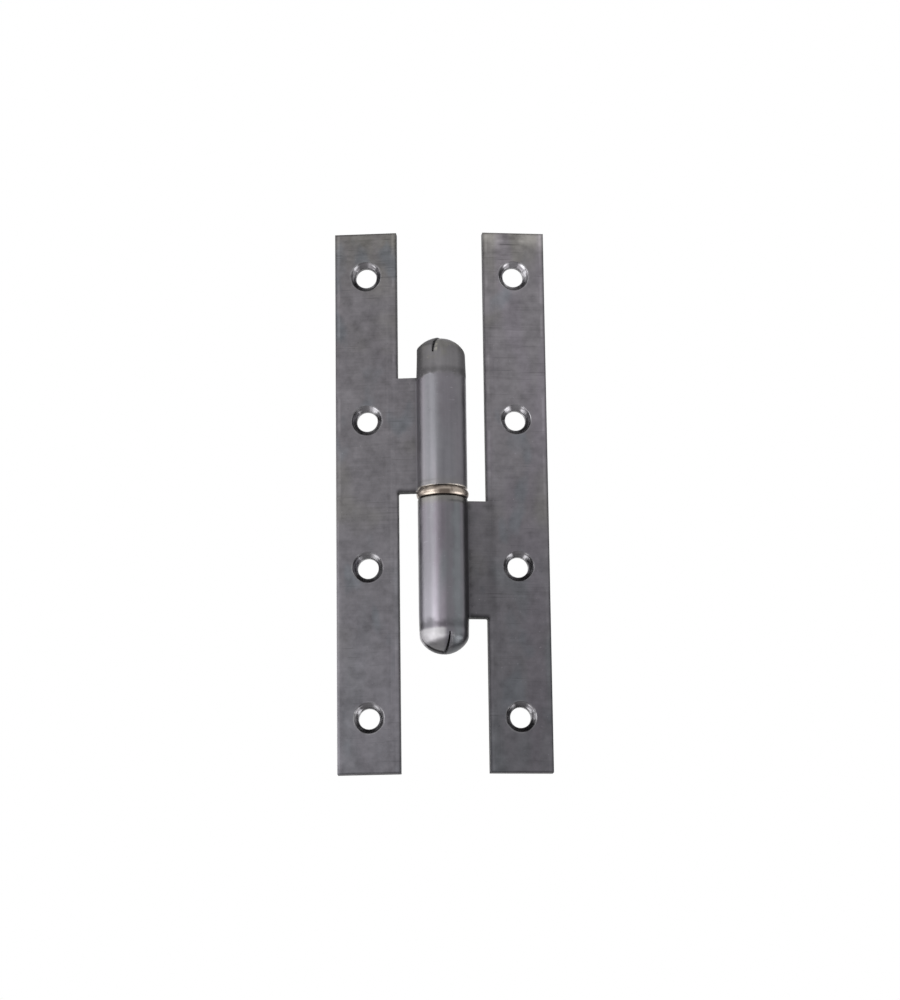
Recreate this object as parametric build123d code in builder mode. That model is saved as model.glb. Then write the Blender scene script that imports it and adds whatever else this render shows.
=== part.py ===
from build123d import *
import os
from math import asin, atan2, cos, degrees, radians, sin, sqrt

# Lift-off hinge with two long strip leaves, lying open and folded slightly back.
# +Z runs up the pin and the origin is on the pin axis, half way through the washer.
# The fixed leaf lies towards +X and is square to the frame. -Y is the side with the
# countersinks. The door leaf lies towards -X and lifts off upwards.

# Leaf blank
leaf_length = 140.0
strip_width = 15.8
strip_inner = 11.3
plate = 2.5
front_face = 1.2
neck_start = 1.25
neck_end = 31.1
neck_corner = 0.4
rest_fold = 11.0

# Screw holes, four in a line down the middle of the strip
hole_count = 4
hole_pitch = 38.2
hole_rise = 1.2
hole_radius = 2.65
sink_radius = 3.9
sink_angle = 90.0

# Rolled eye
eye_radius = 6.3
bend_radius = 1.75
seam_gap = 0.2
edge_break = 0.3

# Closed end of the eye, cut by four darts into flaps that are pressed in to a dome
swage_radius = 6.15
shoulder = 36.0
dome_height = 4.7
dome_corner = 3.0
dome_wall = 2.3
dart_width = 0.4
dart_depth = 5.0
door_dart_turn = 15.0
fixed_dart_turn = 7.0

# One flap of each leaf comes out of the press unlike the others: fuller or flatter
full_straight = 1.6
full_corner = 1.0
full_height = 4.95
flat_corner = 1.5
flat_height = 4.1

# Pin and washer
running_gap = 0.06
pin_bottom = -31.0
pin_top = 30.0
pin_lead = 0.8
washer_proud = 0.3
washer_round = 0.7

# Tolerance for finding an edge or corner by its place
near = 0.01

# Sizes that follow from the ones above
eye_bore = eye_radius - plate
hole_line = strip_inner + strip_width / 2
bend_y = front_face + plate / 2 + bend_radius
bend_reach = eye_radius - plate / 2 + bend_radius
bend_x = sqrt(bend_reach**2 - bend_y**2)
bend_angle = degrees(atan2(bend_y, bend_x))
seam_angle = degrees(asin((front_face - seam_gap) / eye_radius))
wrap_angle = 360 - bend_angle + seam_angle
washer_radius = eye_radius + washer_proud
washer_flat = washer_radius - washer_round
neck_middle = (bend_x + strip_inner) / 2
dart_middle = shoulder + dart_depth - dart_width / 4
hollow_end = shoulder + dome_height - dome_wall
seam_run = shoulder - neck_end + dart_width

os.makedirs("parts", exist_ok=True)


def radial_plane(turn, height):
    # Plane that faces outwards from the pin axis, turned from +X towards +Y
    angle = radians(turn)
    sideways = (-sin(angle), cos(angle), 0)
    outwards = (cos(angle), sin(angle), 0)
    return Plane(origin=(0, 0, height), x_dir=sideways, z_dir=outwards)


def dart_cutter(turns):
    # The darts' slots together, each running outwards from the pin axis
    with BuildPart() as cutter:
        for turn in turns:
            with BuildSketch(radial_plane(turn, -dart_middle)):
                SlotOverall(2 * dart_depth, dart_width, rotation=90)
            extrude(amount=neck_middle)
    return cutter.part


def pressed_flaps(start, arc, cutter, straight, corner, height):
    # Flaps of the closed end over part of a turn: straight, then round a corner and over a nose
    angle = radians(start)
    section = Plane(origin=(0, 0, 0), x_dir=(cos(angle), sin(angle), 0), z_dir=(sin(angle), -cos(angle), 0))
    nose_run = swage_radius - corner
    nose_rise = height - straight - corner
    nose_radius = corner + (nose_run**2 + nose_rise**2) / 2 / nose_rise
    nose_angle = degrees(atan2(nose_run, nose_radius - corner - nose_rise))
    hollow = [(0, -hollow_end), (eye_bore, -shoulder), (eye_bore, -neck_end)]
    skin = [(eye_radius, -neck_end), (swage_radius, -shoulder)]
    if straight > 0:
        skin.append((swage_radius, -shoulder - straight))
    with BuildPart() as flaps:
        with BuildSketch(section):
            with BuildLine():
                Polyline(*hollow, *skin)
                CenterArc((nose_run, -shoulder - straight), corner, 0, nose_angle - 90)
                CenterArc((0, nose_radius - shoulder - height), nose_radius, 270, nose_angle)
                Line((0, -shoulder - height), (0, -hollow_end))
            make_face()
        revolve(axis=Axis.Z, revolution_arc=arc)
        add(cutter, mode=Mode.SUBTRACT)
    return flaps.part


def leaf(bore_radius, rise, dart_turn, odd_flap, odd_shape):
    # One leaf as it is stamped and rolled: strip, neck, eye and closed lower end in one piece
    front = Plane(origin=(0, front_face, 0), x_dir=(1, 0, 0), z_dir=(0, -1, 0))
    with BuildPart(front) as blank:
        # Strip and neck, cut from flat plate
        with BuildSketch(front) as outline:
            with Locations((hole_line, 0)):
                Rectangle(strip_width, leaf_length)
            with Locations(((bend_x + hole_line) / 2, -(neck_start + neck_end) / 2)):
                Rectangle(hole_line - bend_x, neck_end - neck_start)
            inner_edge = outline.vertices().filter_by(lambda v: abs(v.X - strip_inner) < near)
            fillet(inner_edge.filter_by(lambda v: abs(v.Y) < shoulder), neck_corner)
        extrude(amount=-plate)

        # Countersunk screw holes, their middle a little above the washer's
        heights = [(n - (hole_count - 1) / 2) * hole_pitch + rise for n in range(hole_count)]
        with Locations(*[(hole_line, height) for height in heights]):
            CounterSinkHole(hole_radius, sink_radius, counter_sink_angle=sink_angle)

    with BuildPart() as body:
        add(blank.part)

        # Eye, rolled over the front until its end meets the neck at the seam
        with BuildSketch(Plane.XY.offset(-neck_end)):
            with BuildLine():
                Line((neck_middle, front_face), (bend_x, front_face))
                CenterArc((bend_x, bend_y), bend_radius + plate / 2, 270, bend_angle - 90)
                inside = CenterArc((0, 0), eye_bore, bend_angle, wrap_angle)
                outside = CenterArc((0, 0), eye_radius, bend_angle, wrap_angle)
                Line(inside @ 1, outside @ 1)
                CenterArc((bend_x, bend_y), bend_radius - plate / 2, 270, bend_angle - 90)
                Line((bend_x, front_face + plate), (neck_middle, front_face + plate))
                Line((neck_middle, front_face + plate), (neck_middle, front_face))
            make_face()
        extrude(amount=neck_end - neck_start)
        arcs = body.edges().filter_by(GeomType.CIRCLE)
        rims = arcs.filter_by(lambda e: abs(e.radius - eye_radius) < near)
        chamfer(rims.sort_by(Axis.Z)[-1], edge_break)

        # Eye below the neck, closed by four flaps of which one is pressed differently
        darts = [seam_angle, 90 + dart_turn, 180 + dart_turn, 270 + dart_turn, 360 + seam_angle]
        odd_arc = darts[odd_flap + 1] - darts[odd_flap]
        cutter = dart_cutter(darts[:-1])
        add(pressed_flaps(darts[odd_flap], odd_arc, cutter, *odd_shape))
        add(pressed_flaps(darts[odd_flap + 1], 360 - odd_arc, cutter, 0, dome_corner, dome_height))
        add(cutter, mode=Mode.SUBTRACT)

        # Seam below the neck, running into the dart beneath it
        with BuildSketch(radial_plane(seam_angle, -neck_end)):
            with Locations((0, -seam_run / 2)):
                Rectangle(seam_gap, seam_run)
        extrude(amount=neck_middle, mode=Mode.SUBTRACT)

        # Bore reamed to run on the pin
        if bore_radius > eye_bore:
            with BuildSketch(Plane.XY.offset(-shoulder)):
                Circle(bore_radius)
            extrude(amount=shoulder - neck_start, mode=Mode.SUBTRACT)
    return body.part


with BuildPart() as fixed_leaf:
    flat_flap = (0, flat_corner, flat_height)
    add(leaf(eye_bore, hole_rise, fixed_dart_turn, 2, flat_flap))

# The door leaf is turned end for end, so that its eye sits above the washer
with BuildPart() as door_leaf:
    full_flap = (full_straight, full_corner, full_height)
    door_blank = leaf(eye_bore + running_gap, -hole_rise, door_dart_turn, 3, full_flap)
    add(door_blank.rotate(Axis.Y, 180).rotate(Axis.Z, -rest_fold))

# Pin, pressed into the fixed leaf's eye, with a lead at its free end
with BuildPart() as pin:
    with BuildSketch(Plane.XY.offset(pin_bottom)):
        Circle(eye_bore)
    extrude(amount=pin_top - pin_bottom)
    chamfer(pin.edges().sort_by(Axis.Z)[-1], pin_lead)
    chamfer(pin.edges().sort_by(Axis.Z)[0], edge_break)

# Washer between the two eyes, with a round rim that stands a little proud of them
with BuildPart() as washer:
    with BuildSketch(Plane.XZ):
        with BuildLine():
            inner_face = Line((eye_bore + running_gap, neck_start), (eye_bore + running_gap, -neck_start))
            lower_face = Line(inner_face @ 1, (washer_flat, -neck_start))
            rim = ThreePointArc(lower_face @ 1, (washer_radius, 0), (washer_flat, neck_start))
            Line(rim @ 1, inner_face @ 0)
        make_face()
    revolve(axis=Axis.Z)

fixed_leaf.part.label = "fixed_leaf"
door_leaf.part.label = "door_leaf"
pin.part.label = "pin"
washer.part.label = "washer"

export_step(fixed_leaf.part, "parts/fixed_leaf.step")
export_step(door_leaf.part, "parts/door_leaf.step")
export_step(pin.part, "parts/pin.step")
export_step(washer.part, "parts/washer.step")
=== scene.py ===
import bpy
from math import cos, radians, sin
from mathutils import Matrix, Vector

# Lift-off hinge in raw steel with a brass washer, seen from a little below

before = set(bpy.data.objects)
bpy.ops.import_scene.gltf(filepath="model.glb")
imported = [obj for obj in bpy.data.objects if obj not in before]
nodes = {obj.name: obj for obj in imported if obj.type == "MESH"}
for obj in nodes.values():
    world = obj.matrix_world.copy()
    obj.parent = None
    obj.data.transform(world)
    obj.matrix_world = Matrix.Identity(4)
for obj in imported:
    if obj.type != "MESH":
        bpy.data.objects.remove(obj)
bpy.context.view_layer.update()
scene = bpy.context.scene

# Where things are on the hinge, in millimetres, so that a finish can follow the shape
hinge = {
    "eyeRadius": 6.3,
    "stripInner": 11.3,
    "stripOuter": 27.1,
    "halfLength": 70.0,
    "back": 3.7,
    "holeLine": 19.2,
    "holePitch": 38.2,
    "holeRise": 1.2,
    "sinkRadius": 3.9,
    "neckStart": 1.25,
    "neckEnd": 31.1,
}

# The camera stands a little to the left of the fixed leaf's normal and looks slightly up
view = {
    "target": (0.0018445, -0.0001776, -0.001336),
    "azimuth": -6.758,
    "elevation": -13.073,
    "roll": -0.751,
    "distance": 0.732935,
    "focalPixels": 2910.66,
    "longSidePixels": 1000,
    "sensor": 36.0,
    "nearest": 0.01,
    "farthest": 20,
}


def direction(azimuth, elevation):
    # Outwards from the hinge, with 0, 0 straight in front of it
    az, el = radians(azimuth), radians(elevation)
    return Vector((sin(az) * cos(el), -cos(az) * cos(el), sin(el)))


def placeCamera():
    roll = radians(view["roll"])
    back = direction(view["azimuth"], view["elevation"])
    level = direction(view["azimuth"] + 90, 0)
    rise = back.cross(level)
    right = level * cos(roll) + rise * sin(roll)
    up = rise * cos(roll) - level * sin(roll)
    data = bpy.data.cameras.new("hingeCamera")
    data.sensor_width = view["sensor"]
    data.lens = view["focalPixels"] / view["longSidePixels"] * view["sensor"]
    data.clip_start = view["nearest"]
    data.clip_end = view["farthest"]
    camera = bpy.data.objects.new("hingeCamera", data)
    scene.collection.objects.link(camera)
    turn = Matrix((right, up, back)).transposed().to_4x4()
    place = Vector(view["target"]) + back * view["distance"]
    camera.matrix_world = Matrix.Translation(place) @ turn
    scene.camera = camera


placeCamera()
print("camera placed")


# Short ways to build a node tree
def put(tree, kind, **settings):
    node = tree.nodes.new("ShaderNode" + kind)
    for name, value in settings.items():
        setattr(node, name, value)
    return node


def feed(tree, node, values):
    # Each socket takes another node's output or a plain value
    for name, value in values.items():
        if isinstance(value, bpy.types.NodeSocket):
            tree.links.new(value, node.inputs[name])
        elif value is not None:
            node.inputs[name].default_value = value


def calc(tree, operation, first, second=None, third=None):
    node = put(tree, "Math", operation=operation)
    feed(tree, node, {0: first, 1: second, 2: third})
    return node.outputs[0]


# Light and surroundings
studio = {
    "floorDrop": -0.75,
    "floorSize": 6.0,
    "floorColour": (0.9, 0.9, 0.9, 1),
    "floorRoughness": 0.8,
    "floorGlow": 0.48,
    "whiteColour": (1, 1, 1, 1),
    "whiteStrength": 1.0,
    "fillStrength": 0.55,
    # name: (azimuth, elevation, distance, width, height, watts)
    "lamps": {
        "leftWindow": (-88, 3, 0.95, 2.6, 0.5, 6.3),
        "leftSoftbox": (-46, 3, 0.85, 0.42, 0.5, 0.88),
        "lowWindow": (-75, -43, 0.8, 0.75, 0.68, 4.2),
        "lowRight": (78, -36, 0.8, 0.55, 0.45, 2.1),
    },
}


def placeLamps():
    for name, (azimuth, elevation, far, wide, tall, watts) in studio["lamps"].items():
        away = direction(azimuth, elevation)
        data = bpy.data.lights.new(name, "AREA")
        data.shape = "RECTANGLE"
        data.size = wide
        data.size_y = tall
        data.energy = watts
        lamp = bpy.data.objects.new(name, data)
        lamp.location = away * far
        lamp.rotation_euler = away.to_track_quat("Z", "Y").to_euler()
        lamp.visible_camera = False
        scene.collection.objects.link(lamp)


def seenOrMirrored(tree):
    # 1 for what the camera sees, straight, by a reflection or through glass
    path = put(tree, "LightPath").outputs
    seen = calc(tree, "MAXIMUM", path["Is Camera Ray"], path["Is Glossy Ray"])
    return calc(tree, "MAXIMUM", seen, path["Is Transmission Ray"])


def whiteSurroundings():
    # White to the camera and in reflections, softer as a light
    world = bpy.data.worlds.new("paleStudio")
    scene.world = world
    world.use_nodes = True
    tree = world.node_tree
    tree.nodes.clear()
    fill = put(tree, "Background")
    shown = put(tree, "Background")
    mix = put(tree, "MixShader")
    out = put(tree, "OutputWorld")
    feed(tree, fill, {"Strength": studio["fillStrength"]})
    feed(tree, shown, {"Color": studio["whiteColour"], "Strength": studio["whiteStrength"]})
    feed(tree, mix, {0: seenOrMirrored(tree), 1: fill.outputs[0], 2: shown.outputs[0]})
    feed(tree, out, {"Surface": mix.outputs[0]})


def layFloor():
    bpy.ops.object.select_all(action="DESELECT")
    bpy.ops.mesh.primitive_plane_add(size=studio["floorSize"], location=(0, 0, studio["floorDrop"]))
    floor = bpy.context.object
    floor.name = "paleFloor"
    bpy.ops.object.transform_apply(location=True, rotation=True, scale=True)
    paint = bpy.data.materials.new("paleFloor")
    paint.use_nodes = True
    tree = paint.node_tree
    shader = tree.nodes["Principled BSDF"]
    shader.inputs["Base Color"].default_value = studio["floorColour"]
    shader.inputs["Roughness"].default_value = studio["floorRoughness"]
    shader.inputs["Emission Strength"].default_value = studio["floorGlow"]
    feed(tree, shader, {"Emission Color": seenOrMirrored(tree)})
    floor.data.materials.append(paint)


placeLamps()
whiteSurroundings()
layFloor()
scene.view_settings.view_transform = "Standard"
print("studio ready")


# Sums and patterns for the finishes
def times(tree, first, *others):
    for other in others:
        first = calc(tree, "MULTIPLY", first, other)
    return first


def plus(tree, base, value, amount=1.0):
    # The base, and so much of the value on top
    return calc(tree, "MULTIPLY_ADD", value, amount, base)


def without(tree, value):
    return calc(tree, "SUBTRACT", 1.0, value)


def away(tree, value, middle):
    # How far a value is from a middle one, either way
    return calc(tree, "ABSOLUTE", calc(tree, "SUBTRACT", value, middle))


def distance(tree, first, second):
    squares = [calc(tree, "POWER", side, 2.0) for side in (first, second)]
    return calc(tree, "SQRT", calc(tree, "ADD", *squares))


def vary(tree, base, pattern, amount):
    # More than the base where the pattern is over a half, less where it is under
    return plus(tree, base, calc(tree, "SUBTRACT", pattern, 0.5), amount)


def brighten(tree, light, mask, amount):
    return times(tree, light, plus(tree, 1.0, mask, amount))


def fade(tree, value, span):
    # Rises smoothly from 0 at the span's first number to 1 at its second. A third and a fourth
    # number there take the place of 0 and 1.
    node = put(tree, "MapRange", interpolation_type="SMOOTHSTEP")
    feed(tree, node, dict(enumerate((value, *span))))
    return node.outputs[0]


def noise(tree, vector, pattern, seed=0.0):
    # Noise from a row of a table of patterns, as it is or faded over the row's span
    along, scale, detail, ownSeed, span = pattern
    stretched = put(tree, "VectorMath", operation="MULTIPLY")
    feed(tree, stretched, {0: vector, 1: along})
    node = put(tree, "TexNoise", noise_dimensions="4D")
    feed(tree, node, {"Vector": stretched.outputs[0], "W": calc(tree, "ADD", seed, ownSeed)})
    feed(tree, node, {"Scale": scale, "Detail": detail})
    return fade(tree, node.outputs[0], span) if span else node.outputs[0]


def tint(tree, amount, base, other):
    # A Mix node's two colours are its inputs 6 and 7, and the mixed one is its output 2
    node = put(tree, "Mix", data_type="RGBA")
    feed(tree, node, {0: amount, 6: base, 7: other})
    return node.outputs[2]


def newGroup(name, inputs, outputs):
    # A group with its named sockets, what it is given, and where its results go
    group = bpy.data.node_groups.new(name, "ShaderNodeTree")
    for label, value in inputs.items():
        kind = "NodeSocketFloat" if isinstance(value, float) else "NodeSocketVector"
        socket = group.interface.new_socket(label, in_out="INPUT", socket_type=kind)
        socket.default_value = value
    for label, kind in outputs.items():
        group.interface.new_socket(label, in_out="OUTPUT", socket_type="NodeSocket" + kind)
    return group, group.nodes.new("NodeGroupInput").outputs, group.nodes.new("NodeGroupOutput")


# What leafPlaces puts out and steelSkin takes in: masks, and the height in millimetres
placeNames = (
    "Knuckle", "Pressed", "Ring", "Lit Band", "Nose", "Open Nose", "Lip", "Flank", "Lit Side",
    "Rim", "Seat", "Seat Line", "Sink", "Chatter", "Burr", "Sheared", "Torn", "Dark Edge",
    "Edge Line", "Bright Edge", "Top End", "Neck", "Neck Fold", "Neck Foot", "Inner Band",
    "Corner", "Height",
)

# Where the places of a leaf are. It lies towards +X, with its pin along Z.
leafMarks = {
    # name: (stretch along x, y and z), scale, detail, seed, span
    "patterns": {
        "waver": ((1, 1, 1), 0.45, 2.0, 3.0, None),
        "rim": ((1, 1, 1), 0.5, 2.0, 13.0, None),
        "toolMarks": ((0.9, 2.0, 0.05), 1.3, 3.0, 9.0, None),
        "brokenLine": ((1, 1, 1), 0.16, 3.0, 21.0, (0.45, 0.6)),
        "lipBlobs": ((1, 1, 1), 1.3, 2.0, 29.0, (0.42, 0.54, 0.15, 1.0)),
    },
    # How far a border wavers or slants, in millimetres or as a share of the waver
    "waver": 3.0,
    "evener": -0.8,
    "slant": 0.25,
    "rimWaver": 0.7,
    "lipWaver": 0.25,
    "tornWaver": 0.25,
    "foldWaver": 0.5,
    "footWaver": 0.2,
    "topWaver": 0.6,
    # Where fine lines run, in millimetres from the dart, the washer's middle, the countersink's
    # rim, the strip's side and the strip's inner side
    "lipLine": 0.75,
    "seatLine": 3.1,
    "burrLine": 0.15,
    "edgeLine": 0.9,
    "foldLine": 1.5,
    "bandLine": 1.8,
    "joined": 10.0,  # keeps the side lines off the stretch where the neck joins the strip
    # Where a mask is 0 and where it is 1: millimetres, or the value of noise or of a normal
    "spans": {
        "knuckle": (hinge["eyeRadius"] + 0.9, hinge["eyeRadius"] + 0.2),
        "notBack": (hinge["back"] - 0.1, hinge["back"] - 0.4),
        "pressed": (-0.5, 0.5),
        "ringStart": (-1.3, 1.0),
        "ringEnd": (2.4, 1.0),
        "openSide": (0.3, -0.9),
        "litBandStart": (1.5, 2.5),
        "litBandEnd": (5.0, 3.6),
        "nose": (3.6, 5.0),
        "flank": (4.1, 5.1),
        "litSide": (13.0, hinge["neckEnd"]),
        "lip": (0.6, 0.15),
        "lipStart": (35.8, 36.8),
        "lipEnd": (38.6, 39.8, 1.0, 0.4),
        "lipFront": (-1.5, -3.0),
        "rim": (1.75, 2.0, 0.8, 0.0),
        "rimSides": (1.2, 2.4, 0.3, 1.0),
        "seat": (4.4, 2.2),
        "seatLine": (0.5, 0.1),
        "seatSide": (0.0, 2.0),
        "sink": (hinge["sinkRadius"] + 0.12, hinge["sinkRadius"] - 0.05),
        "chatter": (0.42, 0.58, 0.0, 0.95),
        "chatterSides": (0.35, 0.65, 0.1, 1.0),
        "burrLine": (0.25, 0.05),
        "burr": (0.5, 0.62, 0.0, 0.35),
        "edgeOn": (0.6, 0.3),
        "torn": (2.1, 2.5),
        "tornInside": (hinge["stripInner"] + 0.3, hinge["stripInner"] - 0.2),
        "joinStart": (1.2, 1.4),
        "joinEnd": (31.1, 30.9),
        "darkEdge": (0.55, 0.15),
        "edgeLine": (0.45, 0.1),
        "edgeLineUp": (-50.0, 20.0, 0.3, 1.0),
        "brightEdge": (0.85, 0.0),
        "brightDown": (55.0, -65.0, 0.1, 1.0),
        "topEnd": (64.5, 69.0),
        "neck": (hinge["stripInner"] + 2.5, hinge["stripInner"] - 0.5),
        "neckStart": (-1.0, 1.2),
        "neckEnd": (32.6, 30.6),
        "fold": (2.2, 0.0),
        "foot": (1.3, 0.0),
        "footSide": (hinge["stripInner"] + 0.9, hinge["stripInner"] - 0.2),
        "band": (2.4, 0.8),
        "corner": (hinge["eyeRadius"] + 2.0, hinge["eyeRadius"] - 1.0),
    },
}


def mask(tree, value, name):
    return fade(tree, value, leafMarks["spans"][name])


def leafMeasures(tree, given):
    place = put(tree, "SeparateXYZ")
    feed(tree, place, {0: given["Vector"]})
    at = dict(zip(("x", "y", "height"), place.outputs))
    at["across"] = calc(tree, "ABSOLUTE", at["x"])
    at["far"] = calc(tree, "ABSOLUTE", at["height"])
    at["upNeck"] = times(tree, at["height"], given["Neck Side"])
    wavy = noise(tree, given["Vector"], leafMarks["patterns"]["waver"])
    at["waver"] = vary(tree, 0.0, wavy, leafMarks["waver"])
    at["knuckle"] = mask(tree, distance(tree, at["across"], at["y"]), "knuckle")
    at["outside"] = without(tree, at["knuckle"])
    at["notBack"] = mask(tree, at["y"], "notBack")
    return at


def pressedMasks(tree, given, at):
    # The knuckle's closed end: a ring of painted shade where the press stopped, a band of painted
    # highlight on its open side and a nose with painted light and shade
    knuckle = at["knuckle"]
    past = calc(tree, "SUBTRACT", plus(tree, at["far"], at["waver"]), given["Press Line"])
    evenly = plus(tree, past, at["waver"], leafMarks["evener"])
    slanting = plus(tree, evenly, at["x"], leafMarks["slant"])
    openSide = mask(tree, at["x"], "openSide")
    pressed = times(tree, knuckle, mask(tree, past, "pressed"))
    ring = times(tree, mask(tree, past, "ringStart"), mask(tree, evenly, "ringEnd"))
    polish = times(tree, mask(tree, evenly, "litBandStart"), mask(tree, slanting, "litBandEnd"))
    nose = times(tree, knuckle, mask(tree, slanting, "nose"))
    straight = calc(tree, "SUBTRACT", knuckle, pressed)
    return {
        "Knuckle": knuckle,
        "Pressed": pressed,
        "Ring": times(tree, ring, knuckle),
        "Lit Band": times(tree, polish, knuckle, openSide),
        "Nose": nose,
        "Open Nose": times(tree, nose, openSide),
        "Flank": times(tree, knuckle, mask(tree, at["x"], "flank")),
        "Lit Side": times(tree, straight, mask(tree, at["far"], "litSide"), openSide),
    }


def lipMasks(tree, given, at):
    # The lip beside the dart that shows in front, where a painted highlight goes
    fromDart = put(tree, "VectorMath", operation="DOT_PRODUCT")
    feed(tree, fromDart, {0: given["Vector"], 1: given["Across Dart"]})
    offLip = calc(tree, "SUBTRACT", fromDart.outputs["Value"], leafMarks["lipLine"])
    offLip = plus(tree, offLip, at["waver"], leafMarks["lipWaver"])
    lip = mask(tree, calc(tree, "ABSOLUTE", offLip), "lip")
    lip = times(tree, lip, mask(tree, at["far"], "lipStart"), mask(tree, at["far"], "lipEnd"))
    lip = times(tree, lip, mask(tree, at["y"], "lipFront"))
    blobs = noise(tree, given["Vector"], leafMarks["patterns"]["lipBlobs"])
    return {"Lip": times(tree, lip, blobs)}


def seatMasks(tree, given, at):
    # The knuckle's end on the washer: a rim with a painted highlight, the seat next to it and a line
    # of painted shade in the gap there
    rough = noise(tree, given["Vector"], leafMarks["patterns"]["rim"])
    ragged = plus(tree, at["far"], rough, leafMarks["rimWaver"])
    rim = times(tree, mask(tree, ragged, "rim"), mask(tree, at["across"], "rimSides"))
    seat = times(tree, at["knuckle"], mask(tree, ragged, "seat"))
    line = mask(tree, away(tree, ragged, leafMarks["seatLine"]), "seatLine")
    return {
        "Rim": times(tree, rim, at["knuckle"]),
        "Seat": seat,
        "Seat Line": times(tree, seat, line, mask(tree, at["x"], "seatSide")),
    }


def holeMasks(tree, at):
    # The countersinks, the tool's marks in them and the burr round them. The marks, kept to the
    # hole's sides, and the burr are bare steel that also stands for glints
    fromFirst = calc(tree, "SUBTRACT", at["height"], hinge["holeRise"])
    step = calc(tree, "WRAP", fromFirst, hinge["holePitch"], 0.0)
    offRow = calc(tree, "SUBTRACT", step, hinge["holePitch"] / 2)
    offLine = calc(tree, "SUBTRACT", at["across"], hinge["holeLine"])
    fromHole = distance(tree, offRow, offLine)
    roundHole = put(tree, "CombineXYZ")
    turn = calc(tree, "ARCTAN2", offRow, offLine)
    feed(tree, roundHole, {0: turn, 1: fromHole, 2: at["height"]})
    toolMarks = noise(tree, roundHole.outputs[0], leafMarks["patterns"]["toolMarks"])
    aside = calc(tree, "DIVIDE", calc(tree, "ABSOLUTE", offLine), fromHole)
    sink = times(tree, mask(tree, fromHole, "sink"), at["notBack"])
    chatter = times(tree, mask(tree, toolMarks, "chatter"), mask(tree, aside, "chatterSides"))
    burrLine = away(tree, fromHole, hinge["sinkRadius"] + leafMarks["burrLine"])
    burr = times(tree, mask(tree, burrLine, "burrLine"), mask(tree, toolMarks, "burr"))
    return {
        "Sink": sink,
        "Chatter": times(tree, sink, chatter),
        "Burr": times(tree, burr, at["notBack"]),
    }


def edgeMasks(tree, given, at):
    # Sheared and torn edges, darkened partly as painted shade, and on the faces a dark margin, a
    # painted light line beside the strip's sides, a painted highlight on the outer edge and worn
    # ends
    facing = put(tree, "SeparateXYZ")
    feed(tree, facing, {0: given["Normal"]})
    edgeOn = mask(tree, calc(tree, "ABSOLUTE", facing.outputs[1]), "edgeOn")
    onFace = without(tree, edgeOn)
    front = times(tree, onFace, at["notBack"])
    sheared = times(tree, edgeOn, at["outside"])
    torn = mask(tree, plus(tree, at["y"], at["waver"], leafMarks["tornWaver"]), "torn")
    torn = calc(tree, "MAXIMUM", torn, mask(tree, at["across"], "tornInside"))
    joined = times(tree, mask(tree, at["upNeck"], "joinStart"), mask(tree, at["upNeck"], "joinEnd"))
    fromInner = away(tree, at["across"], hinge["stripInner"])
    fromInner = plus(tree, fromInner, joined, leafMarks["joined"])
    fromOuter = calc(tree, "SUBTRACT", hinge["stripOuter"], at["across"])
    fromEnd = calc(tree, "SUBTRACT", hinge["halfLength"], at["far"])
    toSide = calc(tree, "MINIMUM", fromInner, fromOuter)
    toEdge = calc(tree, "MINIMUM", toSide, fromEnd)
    broken = noise(tree, given["Vector"], leafMarks["patterns"]["brokenLine"])
    line = mask(tree, away(tree, toSide, leafMarks["edgeLine"]), "edgeLine")
    line = times(tree, line, broken, mask(tree, at["height"], "edgeLineUp"))
    bright = times(tree, mask(tree, fromOuter, "brightEdge"), mask(tree, at["height"], "brightDown"))
    nearTop = mask(tree, plus(tree, at["height"], at["waver"], leafMarks["topWaver"]), "topEnd")
    return {
        "Sheared": sheared,
        "Torn": times(tree, sheared, torn),
        "Dark Edge": times(tree, onFace, mask(tree, toEdge, "darkEdge")),
        "Edge Line": times(tree, line, onFace),
        "Bright Edge": times(tree, bright, front),
        "Top End": times(tree, nearTop, broken, front),
    }


def neckMasks(tree, given, at):
    # The neck, its fold and foot where it meets the strip, and its corner under the knuckle
    outside = at["outside"]
    across = at["across"]
    span = times(tree, mask(tree, at["upNeck"], "neckStart"), mask(tree, at["upNeck"], "neckEnd"))
    fromFold = away(tree, across, hinge["stripInner"] + leafMarks["foldLine"])
    fromFold = plus(tree, fromFold, at["waver"], leafMarks["foldWaver"])
    fromFoot = away(tree, at["height"], given["Foot"])
    fromFoot = plus(tree, fromFoot, at["waver"], leafMarks["footWaver"])
    fromBand = away(tree, across, hinge["stripInner"] + leafMarks["bandLine"])
    foot = times(tree, mask(tree, fromFoot, "foot"), mask(tree, across, "footSide"))
    return {
        "Neck": times(tree, outside, mask(tree, across, "neck"), span),
        "Neck Fold": times(tree, span, mask(tree, fromFold, "fold")),
        "Neck Foot": times(tree, foot, outside),
        "Inner Band": times(tree, outside, mask(tree, fromBand, "band")),
        "Corner": times(tree, outside, mask(tree, across, "corner")),
    }


def leafPlaces():
    # Masks for the places of a leaf that look different from the rest
    inputs = {
        "Vector": (0, 0, 0),
        "Normal": (0, 0, 1),
        "Neck Side": 1.0,
        "Foot": hinge["neckStart"],
        "Press Line": hinge["neckEnd"],
        "Across Dart": (1, 0, 0),
    }
    group, given, out = newGroup("leafPlaces", inputs, {name: "Float" for name in placeNames})
    at = leafMeasures(group, given)
    feed(group, out, pressedMasks(group, given, at))
    feed(group, out, lipMasks(group, given, at))
    feed(group, out, seatMasks(group, given, at))
    feed(group, out, holeMasks(group, at))
    feed(group, out, edgeMasks(group, given, at))
    feed(group, out, neckMasks(group, given, at))
    feed(group, out, {"Height": at["height"]})
    return group


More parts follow.
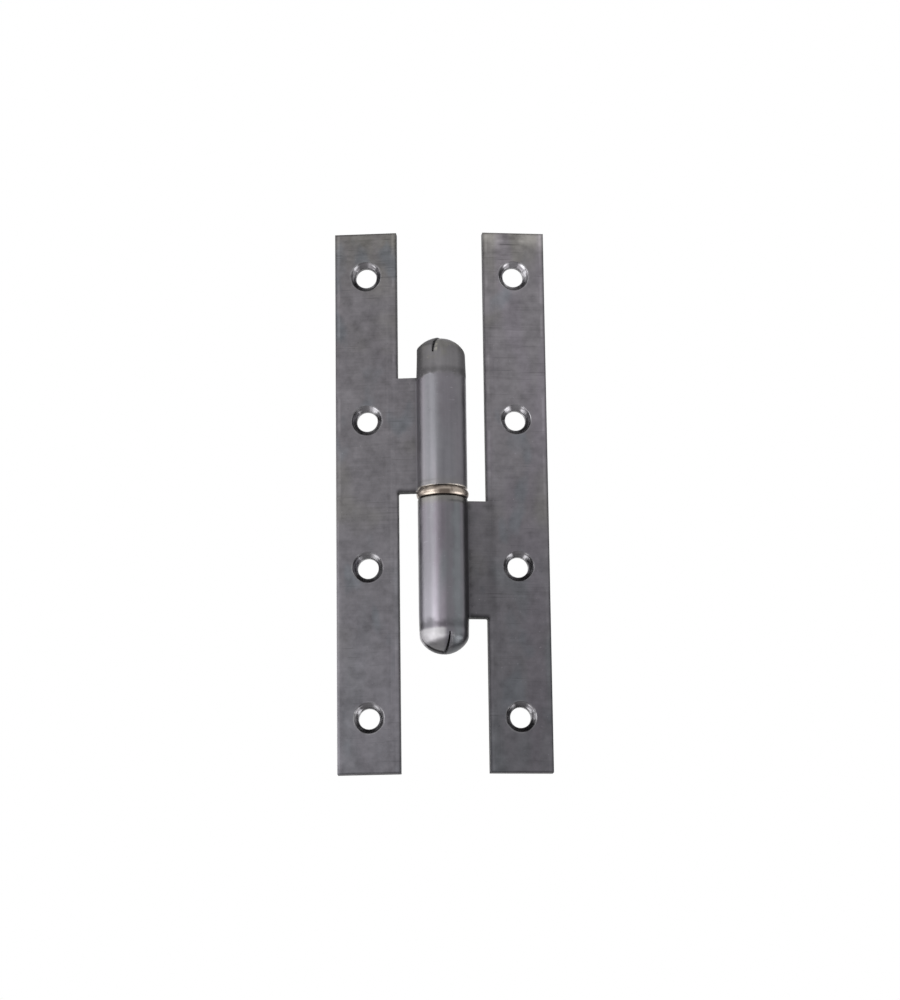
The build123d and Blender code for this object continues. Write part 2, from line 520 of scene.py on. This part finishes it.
steel = {
    "colours": {
        "plain": (0.161, 0.153, 0.164, 1),
        "tarnish": (0.151, 0.145, 0.136, 1),
        "cool": (0.158, 0.153, 0.169, 1),
        "violet": (0.162, 0.149, 0.170, 1),
        "green": (0.145, 0.153, 0.164, 1),
        "blue": (0.141, 0.150, 0.166, 1),
        "pressed": (0.178, 0.172, 0.179, 1),
        "warmEnd": (0.186, 0.180, 0.172, 1),
        "seat": (0.168, 0.162, 0.156, 1),
        # Painted highlight: the band where the dome's flap catches the low light
        "litBand": (0.385, 0.376, 0.39, 1),
        # Painted light on the dome's nose, on its open side
        "nose": (0.22, 0.213, 0.222, 1),
        # Darker steel of the cut edges, deepened as painted shade, most at the torn part
        "sheared": (0.078, 0.074, 0.080, 1),
        "torn": (0.024, 0.022, 0.024, 1),
        # Countersinks darker, a painted dark reflection
        "sink": (0.095, 0.091, 0.097, 1),
        # Painted highlight on the knuckle's rim by the washer, warm like the brass
        "rim": (0.45, 0.41, 0.36, 1),
        # Painted cream highlight on the lip beside the dart
        "lipHighlight": (0.38, 0.37, 0.33, 1),
        # Bare steel that also stands for glints, in the countersinks and on the lip
        "bareAndGlint": (0.33, 0.325, 0.34, 1),
    },
    "roughness": {
        "face": 0.42,
        "knuckle": 0.35,
        "pressed": 0.62,
        "litBand": 0.58,
        "sheared": 0.55,
        "sink": 0.20,
        "uneven": 0.3,
    },
    # How much each pattern or place lightens or darkens the steel
    "shares": {
        "clouds": 0.35,
        "blotches": 0.90,
        "grain": 0.12,
        "crossLines": 0.38,
        "longLines": 0.30,
        "drawLines": 0.45,
        "marks": 0.18,
        "marksOnTop": 1.5,
        "specks": 0.35,
        "nicks": 0.3,
        "uneven": 0.9,
        "edgeLine": 0.28,
        "litSide": 0.35,
        "neckFoot": -0.7,
        "corner": 0.3,
        "stainsAndShade": 2.2,
        "darkEdge": 0.42,
        "seatLine": 0.5,
        "darkest": 0.62,
    },
    # How much of a colour or pattern a place has
    "knuckleClouds": 0.35,
    "neckGround": 0.9,
    "flatTint": 0.6,
    "untintedCool": 0.4,
    "lowCool": 0.9,
    "topTarnish": 0.9,
    "lipGlint": 0.7,
    # Bands along the knuckles: how far they wander, and where they are across them
    "wander": 2.5,
    "violetLine": -1.5,
    "greenLine": 2.8,
    "dullLine": 1.1,
    "topWander": 30.0,  # how unevenly the tarnish at a leaf's top ends
    # name: (stretch along x, y and z), scale, detail, seed, span
    "patterns": {
        "clouds": ((1, 1, 1), 0.085, 3.0, 0.0, None),
        "blotches": ((1, 1, 1), 0.42, 4.0, 0.0, None),
        "grain": ((1, 1, 1), 2.4, 3.0, 0.0, None),
        "crossLines": ((0.06, 0.4, 2.2), 1.0, 3.0, 0.0, None),
        "longLines": ((1.5, 1.5, 0.03), 1.0, 2.0, 0.0, None),
        "drawLines": ((0.6, 0.6, 0.02), 1.0, 2.0, 0.0, None),
        "uneven": ((0.5, 0.5, 1.3), 0.7, 2.0, 0.0, None),
        "wornAndDarkReflection": ((1, 1, 1), 0.12, 2.0, 7.0, (0.44, 0.60, 0.1, 1.0)),
        "violet": ((0.16, 0.16, 0.03), 1.0, 1.0, 11.0, (0.5, 0.66)),
        "green": ((0.14, 0.14, 0.035), 1.0, 1.0, 17.0, (0.5, 0.66)),
        "tarnish": ((1, 1, 1), 0.06, 2.0, 23.0, (0.52, 0.7, 0.0, 0.8)),
        "scratches": ((0.1, 0.4, 3.2), 1.0, 2.0, 31.0, (0.64, 0.70)),
        "pits": ((1, 1, 1), 1.1, 1.0, 37.0, (0.74, 0.80)),
        "specks": ((1, 1, 1), 1.9, 2.0, 41.0, (0.70, 0.76)),
        "nicks": ((0.5, 0.5, 3.5), 1.0, 1.0, 47.0, (0.70, 0.78)),
        "warmSpots": ((1, 1, 1), 0.35, 2.0, 53.0, (0.5, 0.62, 0.1, 0.9)),
        "stainsAndShade": ((0.4, 0.4, 0.7), 1.0, 2.0, 59.0, (0.50, 0.66)),
        "blue": ((0.13, 0.13, 0.07), 1.0, 2.0, 61.0, (0.56, 0.68, 0.0, 0.7)),
    },
    # Where a mask is 0 and where it is 1, in millimetres
    "spans": {
        "below": (65.0, -65.0),
        "top": (66.0, 86.0),
        "calmer": (-70.0, -20.0, 0.55, 1.0),
        "stainedFront": (3.0, 2.0),
        "endShade": (-2.0, 4.5, 0.0, 0.3),
        "endSides": (2.5, 5.8, 0.0, 0.28),
        "dullBand": (0.3, 1.4, 0.12, 0.0),
        "violetBand": (2.0, 0.8),
        "greenBand": (0.5, 1.8, 0.9, 0.0),
        "warmSide": (3.4, 4.4),
        "warmUp": (-20.0, -14.0),
    },
    # How deep each pattern is in the surface, next to the others
    "relief": {
        "crossLines": 0.35,
        "grain": 0.25,
        "longLines": 0.8,
        "torn": 3.0,
        "pressed": 5.0,
        "blotches": 0.8,
    },
    "reliefDepth": 0.00002,
    "edgeRadius": 0.0004,
    "edgeSamples": 6,
    "metal": 1.0,
}


def skinMeasures(tree, given, seen):
    spans = steel["spans"]
    place = put(tree, "SeparateXYZ")
    feed(tree, place, {0: given["Vector"]})
    at = dict(zip(("x", "y"), place.outputs))
    at["flat"] = without(tree, given["Knuckle"])
    at["matte"] = times(tree, given["Pressed"], given["Matte End"])
    at["polish"] = times(tree, given["Lit Band"], given["Highlight Paint"])
    at["wander"] = vary(tree, at["x"], seen["blotches"], steel["wander"])
    at["below"] = fade(tree, given["Height"], spans["below"])
    raggedHeight = plus(tree, given["Height"], seen["clouds"], steel["topWander"])
    at["top"] = fade(tree, raggedHeight, spans["top"])
    return at


def steelShadeAndDirt(tree, given, seen, at):
    # How much darker the steel is: painted shade on the neck, its fold, the corner under the
    # knuckle, the knuckle's flanks, ring and nose, the pressed end and the seat line at the washer,
    # with the corner's stains, a dull band along the tints and a dark margin along the edges
    shares = steel["shares"]
    spans = steel["spans"]
    onFront = fade(tree, at["y"], spans["stainedFront"])
    stainsAndShade = times(tree, given["Corner"], seen["stainsAndShade"], onFront, shares["stainsAndShade"])
    offDull = away(tree, at["wander"], steel["dullLine"])
    darker = (
        # Painted shade on the neck, its fold and the corner under the knuckle, broken into stains in
        # the corner
        (given["Corner"], shares["corner"]),
        (given["Neck"], given["Neck Shade And Stains"]),
        (given["Neck Fold"], given["Neck Shade And Stains"]),
        (stainsAndShade, given["Neck Shade And Stains"]),
        # Painted shade on the knuckle's flank
        (given["Flank"], given["Dark Flank"]),
        # Painted shade in the ring where the press stopped
        (given["Ring"], given["Dark Ring"]),
        # Painted shade on the dome's nose
        (given["Nose"], given["Dark Nose"]),
        (given["Dark Edge"], shares["darkEdge"]),
        # Painted shade on the pressed end, most on its left and at both sides
        (at["matte"], fade(tree, at["x"], spans["endShade"])),
        (at["matte"], fade(tree, calc(tree, "ABSOLUTE", at["x"]), spans["endSides"])),
        (given["Knuckle"], times(tree, fade(tree, offDull, spans["dullBand"]), given["Tint"])),
        # Painted shade in the gap beside the washer
        (given["Seat Line"], times(tree, given["Tint"], shares["seatLine"])),
    )
    shadeAndDirt = 0.0
    for place, amount in darker:
        shadeAndDirt = plus(tree, shadeAndDirt, place, amount)
    return calc(tree, "MINIMUM", shadeAndDirt, shares["darkest"])


def steelLight(tree, given, seen, at):
    # How light the steel is, from its patterns and its places, with painted light and shade among
    # them: darker towards the bottom, a light level for each leaf, painted highlights on the
    # knuckle's open side, beside the strip's sides and on the door leaf's outer edge, painted shade
    # at the neck's foot and bright specks as painted glints
    shares = steel["shares"]
    flat = at["flat"]
    ground = times(tree, given["Neck"], steel["neckGround"])
    ground = calc(tree, "MAXIMUM", ground, seen["wornAndDarkReflection"])
    calmer = fade(tree, given["Height"], steel["spans"]["calmer"])
    cloudy = plus(tree, steel["knuckleClouds"], flat, 1 - steel["knuckleClouds"])
    drawn = plus(tree, given["Knuckle"], at["matte"])
    patterned = {
        "clouds": shares["clouds"],
        "blotches": times(tree, cloudy, shares["blotches"]),
        "grain": times(tree, cloudy, shares["grain"]),
        "crossLines": times(tree, flat, ground, shares["crossLines"], calmer),
        "longLines": times(tree, given["Inner Band"], shares["longLines"]),
        "drawLines": times(tree, drawn, shares["drawLines"]),
    }
    light = 1.0
    for name, amount in patterned.items():
        light = vary(tree, light, seen[name], amount)
    # Painted shade: the faces darker towards the bottom
    shade = times(tree, at["below"], flat, given["Darker Below"])
    light = times(tree, light, without(tree, shade))
    # Painted light: each leaf's faces lighter or darker as a whole
    light = brighten(tree, light, flat, calc(tree, "SUBTRACT", given["Face Light"], 1.0))
    # Painted light line just inside the strip's sides, stronger upwards
    light = plus(tree, light, given["Edge Line"], shares["edgeLine"])
    # Painted highlight on the knuckle's open side, growing towards its far end
    litSide = times(tree, given["Highlight Paint"], shares["litSide"])
    light = brighten(tree, light, given["Lit Side"], litSide)
    light = times(tree, light, without(tree, steelShadeAndDirt(tree, given, seen, at)))
    # Painted highlight on the rounded outer edge, stronger towards the bottom
    light = brighten(tree, light, given["Bright Edge"], given["Bright Side"])
    light = brighten(tree, light, given["Top End"], given["Worn Top"])
    # Painted shade at the neck's foot, under the neck
    light = brighten(tree, light, given["Neck Foot"], shares["neckFoot"])
    light = vary(tree, light, seen["uneven"], times(tree, at["top"], flat, shares["uneven"]))
    marked = plus(tree, seen["pits"], seen["scratches"], flat)
    marked = times(tree, marked, shares["marks"], plus(tree, 1.0, at["top"], shares["marksOnTop"]))
    light = times(tree, light, without(tree, marked))
    # Bright specks, painted glints of small burrs
    light = plus(tree, light, seen["specks"], shares["specks"])
    return plus(tree, light, seen["nicks"], times(tree, given["Knuckle"], shares["nicks"]))


def steelColour(tree, given, seen, at):
    # Faint violet, green, blue and tarnished patches, then the finish of each place over them. Among
    # them are painted highlights on the lit band, the nose, the rim, the lip and the bare steel, and
    # painted shade deepening the sheared, torn and countersunk places
    spans = steel["spans"]
    knuckle = given["Knuckle"]
    tinting = plus(tree, steel["flatTint"], knuckle, 1 - steel["flatTint"])
    tinting = times(tree, given["Tint"], tinting)
    offViolet = away(tree, at["wander"], steel["violetLine"])
    violet = times(tree, fade(tree, offViolet, spans["violetBand"]), knuckle)
    violet = calc(tree, "MAXIMUM", seen["violet"], violet)
    offGreen = away(tree, at["wander"], steel["greenLine"])
    green = times(tree, fade(tree, offGreen, spans["greenBand"]), knuckle)
    green = calc(tree, "MAXIMUM", seen["green"], green)
    warm = fade(tree, at["x"], spans["warmSide"])
    warm = times(tree, warm, fade(tree, given["Height"], spans["warmUp"]))
    green = times(tree, green, without(tree, warm))
    cool = plus(tree, steel["untintedCool"], given["Tint"], 1 - steel["untintedCool"])
    lowCool = times(tree, at["below"], at["below"], steel["lowCool"])
    cool = calc(tree, "MAXIMUM", times(tree, knuckle, cool), lowCool)
    topTarnish = times(tree, at["top"], steel["topTarnish"])
    layers = (
        ("tarnish", calc(tree, "MAXIMUM", seen["tarnish"], topTarnish)),
        ("cool", cool),
        ("violet", times(tree, violet, tinting)),
        ("green", times(tree, green, tinting)),
        ("blue", times(tree, seen["blue"], at["flat"])),
        ("pressed", at["matte"]),
        ("warmEnd", times(tree, given["Nose"], at["matte"], seen["warmSpots"])),
        ("seat", times(tree, given["Seat"], given["Tint"])),
        ("sheared", given["Sheared"]),
        ("torn", given["Torn"]),
        ("sink", given["Sink"]),
        ("litBand", at["polish"]),
        ("nose", times(tree, given["Open Nose"], given["Highlight Paint"])),
        ("bareAndGlint", calc(tree, "MAXIMUM", given["Chatter"], given["Burr"])),
        ("rim", times(tree, given["Rim"], given["Rim Highlight"])),
        ("bareAndGlint", times(tree, given["Lip"], given["Highlight Paint"], steel["lipGlint"])),
        ("lipHighlight", times(tree, given["Lip"], given["Lip Highlight"])),
    )
    colour = steel["colours"]["plain"]
    for name, amount in layers:
        colour = tint(tree, amount, colour, steel["colours"][name])
    return colour


def steelRoughness(tree, given, seen, at):
    rough = steel["roughness"]
    layers = (
        (given["Knuckle"], "knuckle", "face"),
        (at["matte"], "pressed", "knuckle"),
        (at["polish"], "litBand", "knuckle"),
        (given["Sheared"], "sheared", "face"),
        (given["Sink"], "sink", "face"),
    )
    value = vary(tree, rough["face"], seen["blotches"], rough["uneven"])
    for place, over, under in layers:
        value = plus(tree, value, place, rough[over] - rough[under])
    return value


def steelRelief(tree, given, seen, at):
    depth = steel["relief"]
    relief = times(tree, seen["grain"], depth["grain"])
    relief = plus(tree, relief, seen["crossLines"], times(tree, at["flat"], depth["crossLines"]))
    relief = plus(tree, relief, seen["longLines"], times(tree, given["Knuckle"], depth["longLines"]))
    relief = plus(tree, relief, seen["blotches"], times(tree, given["Torn"], depth["torn"]))
    pressed = plus(tree, depth["blotches"], at["matte"], depth["pressed"])
    return plus(tree, relief, seen["blotches"], pressed)


# What steelSkin looks like without a leaf's own looks
plainLooks = {
    "Face Light": 1.0,
    "Darker Below": 0.0,
    "Neck Shade And Stains": 0.1,
    "Bright Side": 0.0,
    "Worn Top": 0.0,
    "Dark Flank": 0.0,
    "Dark Ring": 0.1,
    "Dark Nose": 0.0,
    "Highlight Paint": 0.0,
    "Lip Highlight": 0.0,
    "Rim Highlight": 0.5,
    "Tint": 0.5,
    "Matte End": 1.0,
}


def steelSkin():
    # Rolled steel: mottled and faintly tinted, streaked across the leaves and along the knuckles
    inputs = {"Vector": (0, 0, 0), "Seed": 0.0}
    inputs.update({name: 0.0 for name in placeNames})
    inputs.update(plainLooks)
    outputs = {"Colour": "Color", "Roughness": "Float", "Relief": "Float"}
    group, given, out = newGroup("steelSkin", inputs, outputs)
    seen = {
        name: noise(group, given["Vector"], pattern, given["Seed"])
        for name, pattern in steel["patterns"].items()
    }
    at = skinMeasures(group, given, seen)
    colour = steelColour(group, given, seen, at)
    light = steelLight(group, given, seen, at)
    shaded = put(group, "VectorMath", operation="SCALE")
    feed(group, shaded, {0: colour, 3: light})
    feed(group, out, {"Colour": shaded.outputs[0]})
    feed(group, out, {"Roughness": steelRoughness(group, given, seen, at)})
    feed(group, out, {"Relief": steelRelief(group, given, seen, at)})
    return group


places = leafPlaces()
skin = steelSkin()


def newPaint(name):
    paint = bpy.data.materials.new(name)
    paint.use_nodes = True
    return paint, paint.node_tree, paint.node_tree.nodes["Principled BSDF"]


millimetres = 1000  # in a metre


def inMillimetres(tree, side=1, fold=0.0):
    # Object coordinates as millimetres, unfolded, and mirrored where the side is -1
    mapped = put(tree, "Mapping")
    coords = put(tree, "TexCoord")
    turn = (0, 0, side * radians(fold))
    scale = (side * millimetres, millimetres, millimetres)
    feed(tree, mapped, {"Vector": coords.outputs["Object"], "Rotation": turn, "Scale": scale})
    return mapped.outputs[0]


def relieved(tree, height, depth, edgeRadius=None, samples=None):
    # A bump, over edges that look slightly rounded where a radius is given
    bump = put(tree, "Bump")
    feed(tree, bump, {"Strength": 1.0, "Distance": depth, "Height": height})
    if edgeRadius:
        soft = put(tree, "Bevel", samples=samples)
        feed(tree, soft, {"Radius": edgeRadius})
        feed(tree, bump, {"Normal": soft.outputs[0]})
    return bump.outputs[0]


def leafSteel(name, leaf):
    paint, tree, shader = newPaint(name)
    side = leaf["side"]
    dart = radians(leaf["dartTurn"])
    onLeaf = inMillimetres(tree, side, leaf["fold"])
    coords = put(tree, "TexCoord")
    facing = put(tree, "Mapping", vector_type="NORMAL")
    turn = (0, 0, radians(leaf["fold"]))
    feed(tree, facing, {"Vector": coords.outputs["Normal"], "Rotation": turn})
    where = put(tree, "Group", node_tree=places)
    feed(tree, where, {"Vector": onLeaf, "Normal": facing.outputs[0], "Neck Side": -side})
    feed(tree, where, {"Foot": leaf["foot"], "Press Line": leaf["pressLine"]})
    feed(tree, where, {"Across Dart": (-side * sin(dart), side * cos(dart), 0)})
    look = put(tree, "Group", node_tree=skin)
    feed(tree, look, {"Vector": onLeaf, "Seed": leaf["seed"], **leaf["looks"]})
    feed(tree, look, {socket.name: socket for socket in where.outputs})
    normal = relieved(
        tree, look.outputs["Relief"], steel["reliefDepth"], steel["edgeRadius"], steel["edgeSamples"]
    )
    feed(tree, shader, {"Base Color": look.outputs["Colour"]})
    feed(tree, shader, {"Roughness": look.outputs["Roughness"], "Normal": normal})
    shader.inputs["Metallic"].default_value = steel["metal"]
    return paint


# The side is 1 for a leaf that lies towards +X and -1 for one that lies towards -X. Turns are
# in degrees, heights in millimetres, and the looks say how strong each mark is on the leaf, painted
# light and shade among them.
fixedLeaf = {
    "side": 1,
    "fold": 0.0,
    "foot": -hinge["neckEnd"],
    "pressLine": 33.0,
    "dartTurn": 277,
    "seed": 4.0,
    "looks": {
        "Face Light": 1.17,
        "Darker Below": 0.45,
        "Neck Shade And Stains": 0.2,
        "Worn Top": 0.6,
        "Dark Flank": 0.62,
        "Dark Ring": 0.32,
        "Dark Nose": 0.42,
        "Highlight Paint": 1.0,
        "Rim Highlight": 0.3,
        "Tint": 1.0,
        "Matte End": 0.0,
    },
}
doorLeaf = {
    "side": -1,
    "fold": 11.0,
    "foot": hinge["neckStart"],
    "pressLine": 30.3,
    "dartTurn": 285,
    "seed": 1.0,
    "looks": {
        "Face Light": 0.88,
        "Darker Below": 0.07,
        "Neck Shade And Stains": 0.0,
        "Bright Side": 1.5,
        "Dark Flank": 0.12,
        "Dark Ring": 0.2,
        "Highlight Paint": 0.06,
        "Lip Highlight": 0.85,
        "Rim Highlight": 1.0,
        "Tint": 0.35,
        "Matte End": 1.0,
    },
}


brass = {
    "colour": (0.35, 0.302, 0.260, 1),
    "dull": (0.115, 0.092, 0.077, 1),
    "edgeShade": (0.022, 0.018, 0.016, 1),
    # (stretch along x, y and z), scale, detail, seed, span
    "turned": ((0.15, 0.15, 3.5), 1.0, 3.0, 2.0, None),
    "patches": ((1, 1, 1), 0.45, 3.0, 5.0, None),
    # Dull where the turned marks and the patches add up
    "turnedShare": 0.5,
    "dullSpan": (0.68, 0.98),
    # A painted dark reflection in the middle of the front, in millimetres
    "darkReflectionLine": 0.8,
    "darkReflectionWander": 2.0,
    "darkReflectionSides": (2.3, 0.9),
    "darkReflectionDown": (0.5, -0.2),
    # Painted shade along the washer's two edges, where it meets the knuckles, a little further in at
    # the lower one
    "edgeShadeRise": 0.12,
    "edgeShadeWander": 0.2,
    "edgeShadeSpan": (0.95, 1.15),
    "roughness": 0.26,
    "dullRoughness": 0.2,
    "reliefDepth": 0.00001,
    "edgeRadius": 0.0002,
    "edgeSamples": 6,
    "metal": 1.0,
}


def washerBrass(name):
    # Turned brass, dull in patches, with a painted dark reflection on its front and painted shade
    # along its edges
    paint, tree, shader = newPaint(name)
    spot = inMillimetres(tree)
    place = put(tree, "SeparateXYZ")
    feed(tree, place, {0: spot})
    height = place.outputs[2]
    turned = noise(tree, spot, brass["turned"])
    patches = noise(tree, spot, brass["patches"])
    dullness = fade(tree, plus(tree, patches, turned, brass["turnedShare"]), brass["dullSpan"])
    # Painted dark reflection in the middle of the front
    aside = calc(tree, "SUBTRACT", place.outputs[0], brass["darkReflectionLine"])
    aside = calc(tree, "ABSOLUTE", plus(tree, aside, patches, brass["darkReflectionWander"]))
    wornAndDarkReflection = fade(tree, aside, brass["darkReflectionSides"])
    wornAndDarkReflection = times(tree, wornAndDarkReflection, fade(tree, height, brass["darkReflectionDown"]))
    dullness = calc(tree, "MAXIMUM", dullness, wornAndDarkReflection)
    # Painted shade towards both edges, where the washer meets the knuckles
    above = calc(tree, "SUBTRACT", height, brass["edgeShadeRise"])
    offMiddle = calc(tree, "MAXIMUM", above, times(tree, height, -1.0))
    towardsEdge = plus(tree, offMiddle, patches, brass["edgeShadeWander"])
    colour = tint(tree, dullness, brass["colour"], brass["dull"])
    colour = tint(tree, fade(tree, towardsEdge, brass["edgeShadeSpan"]), colour, brass["edgeShade"])
    rough = plus(tree, brass["roughness"], dullness, brass["dullRoughness"])
    normal = relieved(tree, turned, brass["reliefDepth"], brass["edgeRadius"], brass["edgeSamples"])
    feed(tree, shader, {"Base Color": colour, "Roughness": rough, "Normal": normal})
    shader.inputs["Metallic"].default_value = brass["metal"]
    return paint


pin = {
    "colour": (0.30, 0.295, 0.30),
    # (stretch along x, y and z), scale, detail, seed, span
    "turned": ((0.1, 0.1, 7.0), 1.0, 2.0, 1.0, None),
    "turnedSpan": (0.3, 0.7, 0.94, 1.04),
    "roughness": 0.21,
    "turnedRoughness": 0.08,
    "reliefDepth": 0.000003,
    "metal": 1.0,
}


def pinSteel(name):
    # Ground round, so its marks run round it
    paint, tree, shader = newPaint(name)
    turned = noise(tree, inMillimetres(tree), pin["turned"])
    colour = put(tree, "VectorMath", operation="SCALE")
    feed(tree, colour, {0: pin["colour"], 3: fade(tree, turned, pin["turnedSpan"])})
    rough = plus(tree, pin["roughness"], turned, pin["turnedRoughness"])
    normal = relieved(tree, turned, pin["reliefDepth"])
    feed(tree, shader, {"Base Color": colour.outputs[0], "Roughness": rough, "Normal": normal})
    shader.inputs["Metallic"].default_value = pin["metal"]
    return paint


def dress(node, paint):
    piece = nodes[node]
    piece.data.materials.clear()
    piece.data.materials.append(paint)


dress("fixed_leaf", leafSteel("fixedSteel", fixedLeaf))
dress("door_leaf", leafSteel("doorSteel", doorLeaf))
dress("pin", pinSteel("pinSteel"))
dress("washer", washerBrass("washerBrass"))
print("finishes on")
